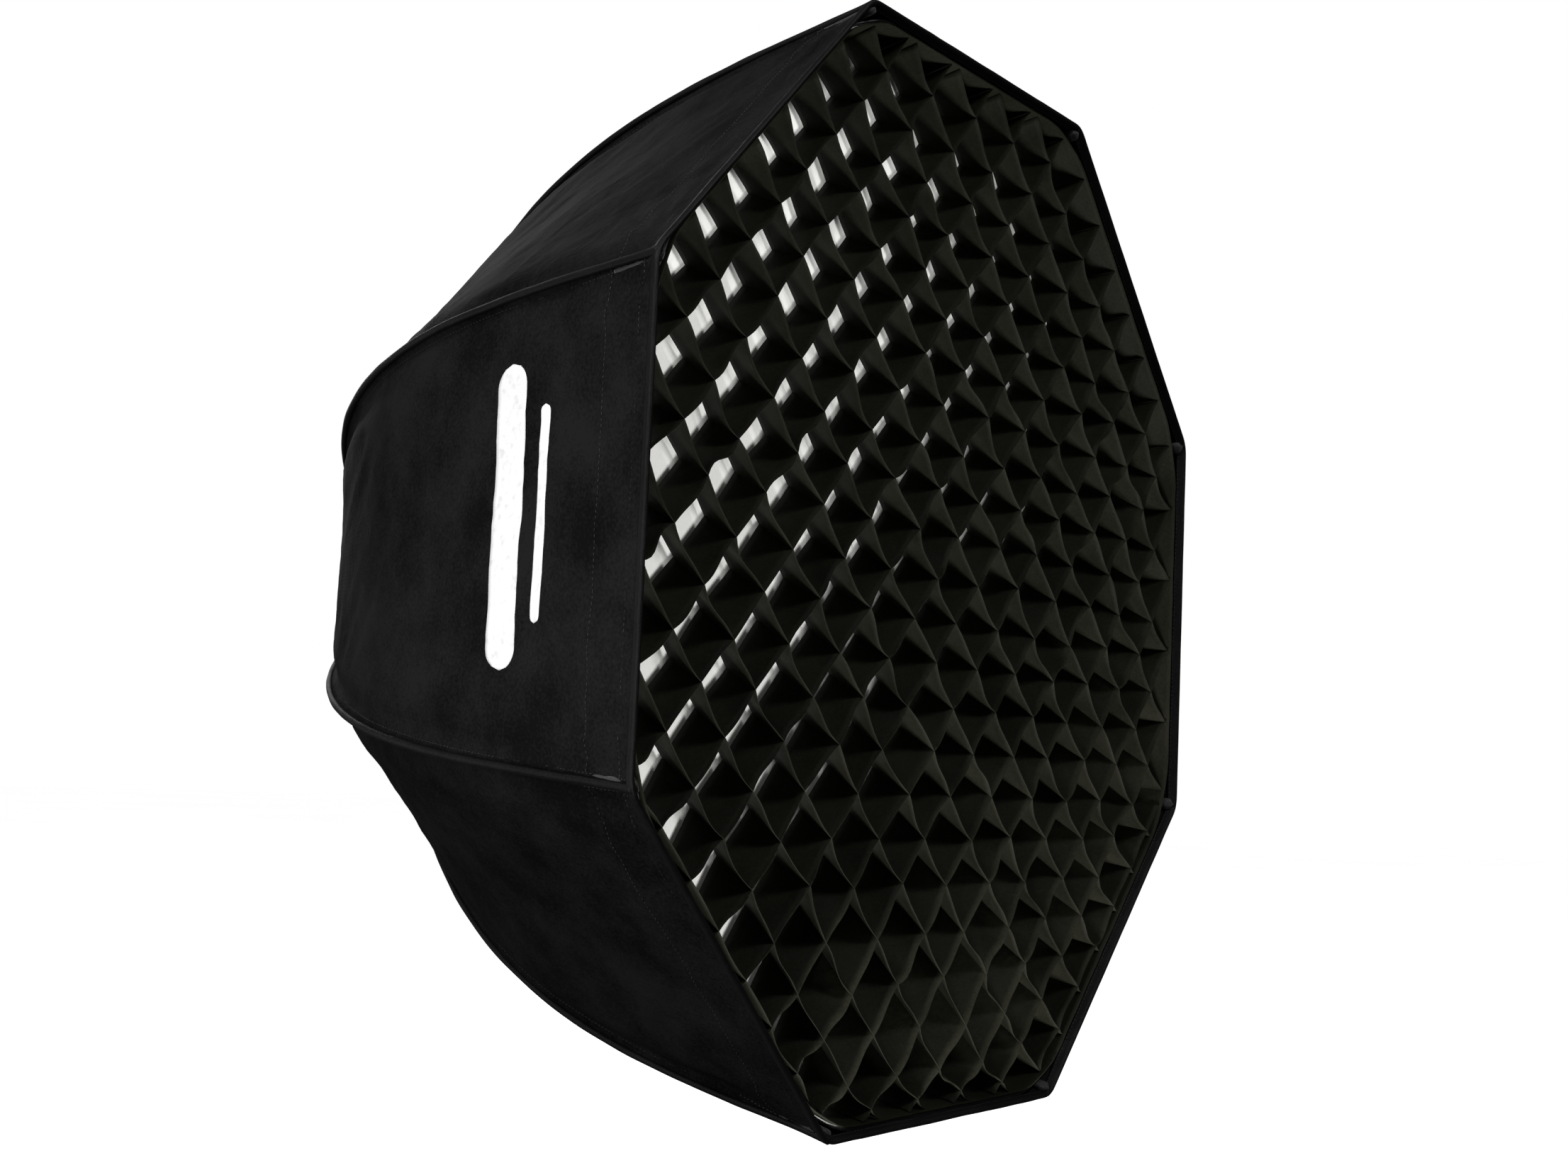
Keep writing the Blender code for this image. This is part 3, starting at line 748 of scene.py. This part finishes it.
def make_rim_hem():
    """The rim's cloth folded over to the inside: a rolled edge and the facing before the grid."""
    fold_depth, fold_offset = HEM_SECTION[-1]
    section = list(HEM_SECTION)
    for i in range(1, FACING_STEPS + 1):
        section.append((fold_depth + (FACING_END - fold_depth) * i / FACING_STEPS, fold_offset))
    rows = []
    for depth, offset in section:
        radius = rib_radius(max(depth, 0.0)) - min(depth, 0.0) * tan(RIM_SLOPE)
        inradius = radius * cos(HALF_SIDE_ANGLE) + offset / cos(RIM_SLOPE)
        row = []
        for place, normal in rounded_octagon(inradius, corner_radius(max(depth, 0.0)) + offset):
            ripple = 0.0009 * noise_at(place.x * 26, place.z * 26, depth * 60)
            ripple += 0.0005 * noise_at(place.x * 90, place.z * 90, depth * 40)
            if depth < 0.006:
                ripple *= 0.35
            row.append(place + (RIM_Y + depth) * BACKWARDS + ripple * normal)
        rows.append(row)
    mesh = mesh_of_rows("rim_hem", rows, closed=True)
    piece = add_piece("rim_hem", mesh, SEAM_CLOTH, *SHELL, ["hem_band"])
    thicken(piece, HEM_CLOTH, offset=0.0)
    inside = fold_offset - HEM_CLOTH / 2
    ring = rounded_octagon(rib_radius(FACING_ROW) * cos(HALF_SIDE_ANGLE) + inside,
                           corner_radius(FACING_ROW) + inside)
    run = [(place + (RIM_Y + FACING_ROW) * BACKWARDS, -1 * normal) for place, normal in ring]
    stitches("facing_stitching", [run], THREAD, *SHELL)


def cut_octagon(depth, inset):
    """Corner points of an octagon inside the cloth, its corners cut off short of the rods."""
    radius = rib_radius(depth)
    flat = radius * cos(HALF_SIDE_ANGLE) - inset / cos(RIM_SLOPE)
    corner = radius - CORNER_CUT - inset
    half_cut = (flat - corner * cos(HALF_SIDE_ANGLE)) / sin(HALF_SIDE_ANGLE)
    outline = []
    for angle in RIB_ANGLES:
        outline.append(corner * radial(angle) - half_cut * sideways(angle))
        outline.append(corner * radial(angle) + half_cut * sideways(angle))
    return outline


def fine_outline(corners, step=0.011):
    """The outline cut into short steps, its corners eased."""
    points = []
    for a, b in zip(corners, corners[1:] + corners[:1]):
        count = max(2, round((b - a).length / step))
        points += [a.lerp(b, i / count) for i in range(count)]
    for _ in range(2):
        points = [(points[i - 1] + 2 * points[i] + points[(i + 1) % len(points)]) / 4
                  for i in range(len(points))]
    return points


def inner_band(name, material, body, slot, replaced, inset, thickness, front, rear, ripple, seed):
    """A band of cloth inside the rim. The two long edges are rolled and the cloth ripples."""
    middle = cut_octagon((front + rear) / 2, inset)
    outline = fine_outline(middle)
    rows = []
    for i in range(BAND_STEPS + 1):
        share = i / BAND_STEPS
        depth = rear + (front - rear) * share
        scale = cut_octagon(depth, inset)[0].length / middle[0].length
        edge = 0.0012 * (exp(-share / 0.08) + exp(-(1 - share) / 0.08))
        row = []
        for p in outline:
            inwards = -p.normalized()
            wave = ripple * noise_at(p.x * 34, p.z * 34, depth * 30 + seed)
            push = ripple * 0.6 * noise_at(p.x * 60, p.z * 60, seed + 5)
            row.append(p * scale + (RIM_Y + depth + push * share) * BACKWARDS
                       + (abs(wave) + edge * 0.4) * inwards)
        rows.append(row)
    piece = add_piece(name, mesh_of_rows(name, rows, closed=True), material, body, slot, [replaced])
    thicken(piece, thickness)


# --- honeycomb grid ---


def clip_line(corners, point, along):
    """How far the line through a point runs each way before it leaves a convex outline."""
    normal = Vector((along.z, 0, -along.x))
    reach = []
    for a, b in zip(corners, corners[1:] + corners[:1]):
        side_a, side_b = (a - point).dot(normal), (b - point).dot(normal)
        if (side_a < 0) != (side_b < 0):
            reach.append((a.lerp(b, side_a / (side_a - side_b)) - point).dot(along))
    return (min(reach), max(reach)) if len(reach) == 2 else None


def inside_by(corners, point):
    """How far a point lies inside a convex outline."""
    nearest = RIM_RADIUS
    for a, b in zip(corners, corners[1:] + corners[:1]):
        along = (b - a).normalized()
        nearest = min(nearest, (point - a).dot(Vector((-along.z, 0, along.x))))
    return nearest


def crossing_place(i, j):
    """The place where strip i of one set crosses strip j of the other, before it sags."""
    return (i + 0.5) * CELL * UP_RIGHT + (j + 0.5) * CELL * UP_LEFT + Vector((0, 0, GRID_RISE))


def crossing_shift(corners, i, j):
    """How far the front end and the rear end of a crossing lie off their place."""
    draw = random.Random(1000 * (i + 50) + j)
    place = crossing_place(i, j)
    held = smooth_step(inside_by(corners, place) / 0.045)
    low_left = smooth_step((-place.z - 0.20) / 0.13) * smooth_step((0.20 - place.x) / 0.12)
    droop = DROOP + EXTRA_DROOP * low_left + draw.gauss(0, 0.0014)
    front = Vector((draw.gauss(0, 0.0018), draw.gauss(0, 0.0012), -droop))
    rear = Vector((draw.gauss(0, 0.0012), 0.0, DROOP + draw.gauss(0, 0.0010)))
    return front * held, rear * held


def strip_spreads():
    """The grid follows the box's taper: its scale at each step from the rear to the front."""
    depths = []
    for d in range(DEPTH_STEPS + 1):
        depths.append(GRID_REAR_Y + (GRID_FRONT_Y - GRID_REAR_Y) * d / DEPTH_STEPS - RIM_Y)
    middle = rib_radius((depths[0] + depths[-1]) / 2)
    return [rib_radius(depth) / middle for depth in depths]


def stop_shifts(corners, family, line, crossing):
    """The shifts where a strip crosses another, or no shift at its sewn ends."""
    if crossing is None:
        return Vector((0, 0, 0)), Vector((0, 0, 0))
    if family == "a":
        return crossing_shift(corners, line, crossing)
    return crossing_shift(corners, crossing, line)


def strip_columns(corners, family, line):
    """Columns of points from the rear to the front of one strip, along its length."""
    along, beside = (UP_LEFT, UP_RIGHT) if family == "a" else (UP_RIGHT, UP_LEFT)
    start = (line + 0.5) * CELL * beside + Vector((0, 0, GRID_RISE))
    reach = clip_line(corners, start, along)
    if reach is None or reach[1] - reach[0] < CELL:
        return None
    most = int(RIM_RADIUS / CELL) + 1
    crossings = [c for c in range(-most - 1, most + 1)
                 if reach[0] + END_GAP < (c + 0.5) * CELL < reach[1] - END_GAP]
    stops = [(reach[0], None)] + [((c + 0.5) * CELL, c) for c in crossings] + [(reach[1], None)]
    shifts = [stop_shifts(corners, family, line, crossing) for _, crossing in stops]
    spreads = strip_spreads()
    draw = random.Random(f"{family}{line}")
    columns = []
    for index, ((low, _), (high, _)) in enumerate(zip(stops, stops[1:])):
        span = min((high - low) / CELL, 1.0)
        if draw.random() < 0.75:
            belly = -abs(draw.gauss(BELLY, BELLY)) * span
        else:
            belly = abs(draw.gauss(0, BELLY)) * span
        root = draw.gauss(0, ROOT_BOW) * span
        twist = draw.gauss(0, TWIST) * span
        dip = abs(draw.gauss(FRONT_DIP, 0.0008)) * span
        last = index == len(stops) - 2
        for s in range(WALL_STEPS + (1 if last else 0)):
            share = s / WALL_STEPS
            ease = 0.4 * share + 0.6 * smooth_step(share)
            front_shift = shifts[index][0].lerp(shifts[index + 1][0], ease)
            rear_shift = shifts[index][1].lerp(shifts[index + 1][1], ease)
            column = []
            for d in range(DEPTH_STEPS + 1):
                forward = d / DEPTH_STEPS
                bow = sin(pi * share) * (root * (1 - forward) + belly * forward**1.5)
                bow += sin(2 * pi * share) * twist * forward
                y = GRID_REAR_Y + (GRID_FRONT_Y - GRID_REAR_Y) * forward
                y += dip * forward**4 * sin(pi * share)
                place = (start + (low + (high - low) * share) * along + bow * beside) * spreads[d]
                column.append(place + rear_shift.lerp(front_shift, forward) + y * BACKWARDS)
            columns.append(column)
    return columns


def make_grid_strips():
    depth = (GRID_FRONT_Y + GRID_REAR_Y) / 2 - RIM_Y
    corners = cut_octagon(depth, GRID_INSET)
    most = int(RIM_RADIUS / CELL)
    for family in ("a", "b"):
        for line in range(-most - 1, most + 1):
            columns = strip_columns(corners, family, line)
            if columns is None:
                continue
            name = f"grid_strip_{family}_{line + most + 2}"
            piece = add_piece(name, mesh_of_rows(name, columns), GRID_CLOTH, "grid", "grid_fabric")
            thicken(piece, STRIP, offset=0.0)
            if family == "a" and line == 0:
                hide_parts("grid_lattice")


def make_rim_bands():
    inner_band("loop_tape_nap", NAP, "softbox", "loop_tape", "loop_tape", inset=0.0014,
               thickness=0.0010, front=0.0080, rear=0.0460, ripple=0.0002, seed=1.0)
    inner_band("diffuser_edge", WHITE_CLOTH, "diffuser", "white_fabric", "diffuser_border", inset=0.0028,
               thickness=0.0010, front=0.0135, rear=0.0470, ripple=0.0004, seed=2.0)
    inner_band("grid_edge", GRID_CLOTH, "grid", "grid_fabric", "grid_border", inset=0.0044,
               thickness=0.0012, front=0.0055, rear=0.0440, ripple=0.0007, seed=3.0)


# --- diffusers ---


def disc_mesh(name, outline, y, relief):
    """A disc inside an outline: rings that shrink down to a small hole, which is then closed."""
    rows = []
    for i in range(DISC_RINGS + 1):
        scale = 1 - 0.995 * i / DISC_RINGS
        rows.append([Vector((p.x * scale, y + relief(p * scale, scale), p.z * scale)) for p in outline])
    mesh = mesh_of_rows(name, rows, closed=True)
    fill_holes(mesh, lambda place: place.xz.length < DISC_HOLE)
    return mesh


def make_front_diffuser():
    outline = fine_outline(cut_octagon(DIFFUSER_HIGH.y - RIM_Y, DIFFUSER_INSET), 0.016)

    def relief(p, scale):
        angle = atan2(p.z, p.x)
        pull = 0.0010 * sin(angle * 24 + 2 * noise.noise(p * 6)) * scale**6
        return 0.0006 * noise.noise(p * 5.0) + pull * 0.5 + 0.0025 * (1 - scale * scale)

    mesh = disc_mesh("front_diffuser_cloth", outline, DIFFUSER_LOW.y, relief)
    piece = add_piece("front_diffuser_cloth", mesh, WHITE_CLOTH, "diffuser", "white_fabric",
                      ["front_diffuser"])
    thicken(piece, WHITE_SHEET)


def make_inner_baffle():
    """A white octagon with a bound edge, held to the rods by a strap at each corner."""
    y = (BAFFLE_LOW.y + BAFFLE_HIGH.y) / 2
    inradius = BAFFLE_RADIUS * cos(HALF_SIDE_ANGLE)
    outline = [place for place, _ in rounded_octagon(inradius, 0.012, 18, 4)]

    def relief(p, scale):
        angle = atan2(p.z, p.x)
        pull = 0.0030 * abs(cos(angle * SIDES / 2 + pi / 2)) * scale**5
        return 0.0012 * noise.noise(p * 7.0) + 0.5 * pull

    mesh = disc_mesh("inner_baffle_cloth", outline, y, relief)
    piece = add_piece("inner_baffle_cloth", mesh, WHITE_CLOTH, *BAFFLE, ["inner_baffle"])
    thicken(piece, WHITE_SHEET)
    rows = []
    for i in range(BINDING_AROUND):
        phi = 2 * pi * i / BINDING_AROUND
        row = []
        for p in outline:
            flat = p * (1 + 0.0042 * cos(phi) / p.length)
            row.append(flat + (y + relief(p, 1.0) + 0.0011 * sin(phi)) * BACKWARDS)
        rows.append(row)
    rows.append(rows[0])
    add_piece("baffle_binding", mesh_of_rows("baffle_binding", rows, closed=True), WHITE_CLOTH, *BAFFLE)
    for k, angle in enumerate(RIB_ANGLES):
        make_baffle_strap(k, angle, y)


def make_baffle_strap(k, angle, y):
    """A flat strap from the baffle's corner to the rod, looped back on itself at the rod."""
    start = BAFFLE_RADIUS - 0.022
    rows = []
    runs = [[], []]
    for i in range(STRAP_STEPS + 1):
        share = i / STRAP_STEPS
        reach = start + (BAFFLE_STRAP_END - start) * share
        half_width = BAFFLE_STRAP_WIDTH / 2 * (1 - 0.12 * sin(pi * smooth_step((share - 0.25) / 0.75)))
        swell = 0.0010 + 0.0018 * smooth_step((share - 0.80) / 0.12)
        lift = 0.0005 * sin(share * 9 + k) * (1 - share)
        row = []
        for side, depth in STRAP_SECTION:
            row.append(reach * radial(angle) + side * half_width * sideways(angle)
                       + (y + lift + depth * swell) * BACKWARDS)
        rows.append(row)
        if share < STRAP_SEWN_SHARE:
            for run, side in zip(runs, (-0.75, 0.75)):
                run.append((reach * radial(angle) + side * half_width * sideways(angle)
                            + (y + lift - swell) * BACKWARDS, Vector((0, -1, 0))))
    name = f"baffle_strap_{k + 1}"
    mesh = mesh_of_rows(name, rows, closed=True)
    fill_holes(mesh)
    face_outwards(mesh)
    add_piece(name, mesh, WHITE_CLOTH, *BAFFLE)
    stitches(f"baffle_strap_stitching_{k + 1}", runs, THREAD, *BAFFLE)


# --- rear collar and rod pockets ---


def make_rear_collar():
    """The elastic sleeve behind the panels: gathered cloth with a rolled edge over the elastic."""
    front = COLLAR_LOW.y
    rear = COLLAR_HIGH.y - 0.0022
    inradius = REAR_RADIUS * cos(HALF_SIDE_ANGLE)
    outline = rounded_octagon(inradius, 0.020, 26, 8)
    rows = []
    for i in range(COLLAR_STEPS + 1):
        share = i / COLLAR_STEPS
        row = []
        for place, normal in outline:
            angle = atan2(place.z, place.x)
            wave = sin(angle * GATHERS + 2.2 * noise_at(4 * cos(angle), 4 * sin(angle), 0.7))
            depth_of_gather = 0.0004 + 0.0016 * smooth_step(share / 0.9)
            swell = 0.0022 * sin(pi * share) ** 0.7
            row.append(place + (front + (rear - front) * share) * BACKWARDS
                       + (depth_of_gather * (0.5 + 0.5 * wave) + swell) * normal)
        rows.append(row)
    edge = rows[-1]
    for j in range(1, 8):
        turn = 1.25 * pi * j / 7
        row = []
        for (place, normal), last in zip(outline, edge):
            row.append(last + COLLAR_ROLL * sin(turn) * BACKWARDS
                       - COLLAR_ROLL * (1 - cos(turn)) * 0.5 * normal)
        rows.append(row)
    mesh = mesh_of_rows("rear_collar_cloth", rows, closed=True)
    piece = add_piece("rear_collar_cloth", mesh, SEAM_CLOTH, *SHELL, ["rear_collar"])
    thicken(piece, HEM_CLOTH, offset=0.0)
    run = []
    for (_, normal), point in zip(outline, rows[COLLAR_STEPS - 3]):
        run.append((point + HEM_CLOTH / 2 * normal, normal))
    run.append(run[0])
    stitches("collar_stitching", [run], THREAD, *SHELL)


def make_rod_pockets():
    """A folded webbing pocket round the front of each rod, closed and tacked at the rim."""
    for k, angle in enumerate(RIB_ANGLES):
        low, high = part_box(f"rod_pocket_{k + 1}")
        front_depth = low.y - RIM_Y
        rear_depth = high.y - RIM_Y
        rows = []
        for i in range(POCKET_STEPS + 1):
            share = i / POCKET_STEPS
            depth = front_depth + (rear_depth - front_depth) * share
            t = at_depth(depth)
            outwards = outwards_at(t, angle)
            centre = in_space(rib_point(t), angle) - (ROD_INSET + 0.0006) * outwards
            close = smooth_step((share + 0.02) / 0.10)
            wide = 0.0052 * close + 0.0002
            tall = 0.0033 * close + 0.0002
            row = []
            for j in range(POCKET_AROUND):
                phi = 2 * pi * j / POCKET_AROUND
                ripple = 0.00025 * noise_at(cos(phi) * 2, depth * 180, k * 3 + sin(phi) * 2)
                square = (abs(cos(phi)) ** 3 + abs(sin(phi)) ** 3) ** (-1 / 3)
                row.append(centre + (wide * square + ripple) * cos(phi) * sideways(angle)
                           + (tall * square + ripple) * sin(phi) * outwards)
            rows.append(row)
        name = f"rod_pocket_webbing_{k + 1}"
        mesh = mesh_of_rows(name, rows, closed=True)
        fill_holes(mesh, lambda place: place.y < low.y + 0.006)
        face_outwards(mesh)
        piece = add_piece(name, mesh, WEBBING, *SHELL, [f"rod_pocket_{k + 1}"])
        thicken(piece, HEM_CLOTH)


# --- print ---


def make_print():
    """Plain printed bars on the left panel: no letters, only a broad bar and a thin one."""
    for name, depths, ends in PRINT_BARS:
        middle = (depths[0] + depths[1]) / 2
        half = (depths[1] - depths[0]) / 2
        width = 2 * rib_radius(middle) * sin(HALF_SIDE_ANGLE)
        length = (ends[1] - ends[0]) * width
        along_steps = 90
        across_steps = 8
        rows = []
        for i in range(along_steps + 1):
            along = length * i / along_steps
            to_end = min(along, length - along)
            narrow = 1.0
            if to_end < half:
                narrow = sqrt(max(1 - (1 - to_end / half) ** 2, 0.0009))
            row = []
            for j in range(across_steps + 1):
                depth = middle + half * narrow * (2 * j / across_steps - 1)
                across = ends[0] + along / width
                row.append(panel_place(at_depth(depth), across, PRINT_PANEL, PRINT_LIFT))
            rows.append(row)
        piece = add_piece(name, mesh_of_rows(name, rows), PRINT, "softbox", "white_fabric")
        thicken(piece, PRINT_THICKNESS)


# --- camera, light and floor ---


def make_camera():
    data = bpy.data.cameras.new("camera")
    data.lens = CAMERA_LENS
    data.sensor_width = SENSOR_WIDTH
    data.sensor_fit = "HORIZONTAL"
    data.clip_end = 60.0
    camera = bpy.data.objects.new("camera", data)
    bpy.context.scene.collection.objects.link(camera)
    right = CAMERA_FORWARD.cross(CAMERA_UP).normalized()
    up = right.cross(CAMERA_FORWARD).normalized()
    turn = Matrix((right, up, -CAMERA_FORWARD.normalized())).transposed().to_4x4()
    place = CAMERA_PLACE * RIM_RADIUS + RIM_Y * BACKWARDS
    camera.matrix_world = Matrix.Translation(place) @ turn
    bpy.context.scene.camera = camera


def area_light(name, place, target, size, power):
    data = bpy.data.lights.new(name, "AREA")
    data.shape = "SQUARE"
    data.size = size
    data.energy = power
    light = bpy.data.objects.new(name, data)
    light.visible_camera = False
    bpy.context.scene.collection.objects.link(light)
    direction = target - place
    light.matrix_world = Matrix.Translation(place) @ direction.to_track_quat("-Z", "Y").to_matrix().to_4x4()
    return light


def make_world():
    """White behind the object, and a softer fill on it."""
    world = bpy.data.worlds.new("studio")
    world.use_nodes = True
    tree = world.node_tree
    fill = tree.nodes["Background"]
    fill.inputs["Color"].default_value = (1, 1, 1, 1)
    fill.inputs["Strength"].default_value = FILL
    backdrop = tree.nodes.new("ShaderNodeBackground")
    backdrop.inputs["Color"].default_value = (1, 1, 1, 1)
    rays = tree.nodes.new("ShaderNodeLightPath")
    mix = tree.nodes.new("ShaderNodeMixShader")
    tree.links.new(rays.outputs["Is Camera Ray"], mix.inputs[0])
    tree.links.new(fill.outputs[0], mix.inputs[1])
    tree.links.new(backdrop.outputs[0], mix.inputs[2])
    tree.links.new(mix.outputs[0], tree.nodes["World Output"].inputs["Surface"])
    bpy.context.scene.world = world


def make_floor():
    """A pale floor that takes shadows. It casts no light or shadow back on the object."""
    mesh = bpy.data.meshes.new("floor")
    rework(mesh, lambda shape: bmesh.ops.create_grid(shape, x_segments=8, y_segments=8, size=FLOOR_SIZE))
    floor = bpy.data.objects.new("floor", mesh)
    floor.location = (0, 0, FLOOR_Z)
    floor.visible_diffuse = False
    floor.visible_glossy = False
    floor.visible_shadow = False
    bpy.context.scene.collection.objects.link(floor)
    mesh.materials.append(floor_material())


def limit_light(light, *prefixes):
    """Lets a light fall only on the pieces whose names start one of these ways."""
    collection = bpy.data.collections.new(f"lit_by_{light.name}")
    for piece in bpy.context.scene.objects:
        if piece.name.startswith(prefixes):
            collection.objects.link(piece)
    light.light_linking.receiver_collection = collection


def make_overhead_sun():
    data = bpy.data.lights.new("overhead", "SUN")
    data.energy = OVERHEAD
    data.angle = OVERHEAD_ANGLE
    light = bpy.data.objects.new("overhead", data)
    light.matrix_world = OVERHEAD_DIRECTION.to_track_quat("Z", "Y").to_matrix().to_4x4()
    bpy.context.scene.collection.objects.link(light)
    limit_light(light, "floor")


def make_studio():
    bpy.context.scene.view_settings.view_transform = "Standard"
    make_world()
    make_floor()
    make_overhead_sun()
    centre = RIM_Y * BACKWARDS
    for name, distance, direction, size, power, lit in AREA_LIGHTS:
        light = area_light(name, centre + distance * Vector(direction), centre, size, power)
        if lit:
            limit_light(light, *lit)
    area_light("back", BACK_PLACE, Vector((0, 0, 0)), BACK_SIZE, BACK_POWER)


# --- CAD pieces that stay ---


def finish_cad_pieces():
    looks = {"bayonet_steel": STEEL, "ring_metal": RING_PAINT, "fibreglass": ROD_FINISH,
             "black_plastic": PLASTIC, "black_fabric": WEBBING, "white_fabric": WHITE_CLOTH,
             "loop_tape": NAP, "grid_fabric": GRID_CLOTH}
    slots = {entry["node"]: entry["material_slot"] for entry in frame["record"]["subparts"]}
    for name, node in frame["nodes"].items():
        node.material_slots[0].material = looks[slots[name]]
        if slots[name] in ("bayonet_steel", "ring_metal", "black_plastic"):
            soften_edges(node)


def soften_edges(node):
    """Joins the faces of a CAD piece and rounds its sharp edges a little."""
    weld = node.modifiers.new("weld", "WELD")
    weld.merge_threshold = 0.00002
    bevel = node.modifiers.new("bevel", "BEVEL")
    bevel.width = 0.0004
    bevel.segments = 2
    bevel.limit_method = "ANGLE"
    bevel.angle_limit = radians(35)
    bevel.harden_normals = True


make_camera()
finish_cad_pieces()
make_panels()
make_hem_stitching()
make_seams()
make_rim_hem()
make_rim_bands()
make_grid_strips()
make_front_diffuser()
make_inner_baffle()
make_rear_collar()
make_rod_pockets()
make_print()
make_studio()
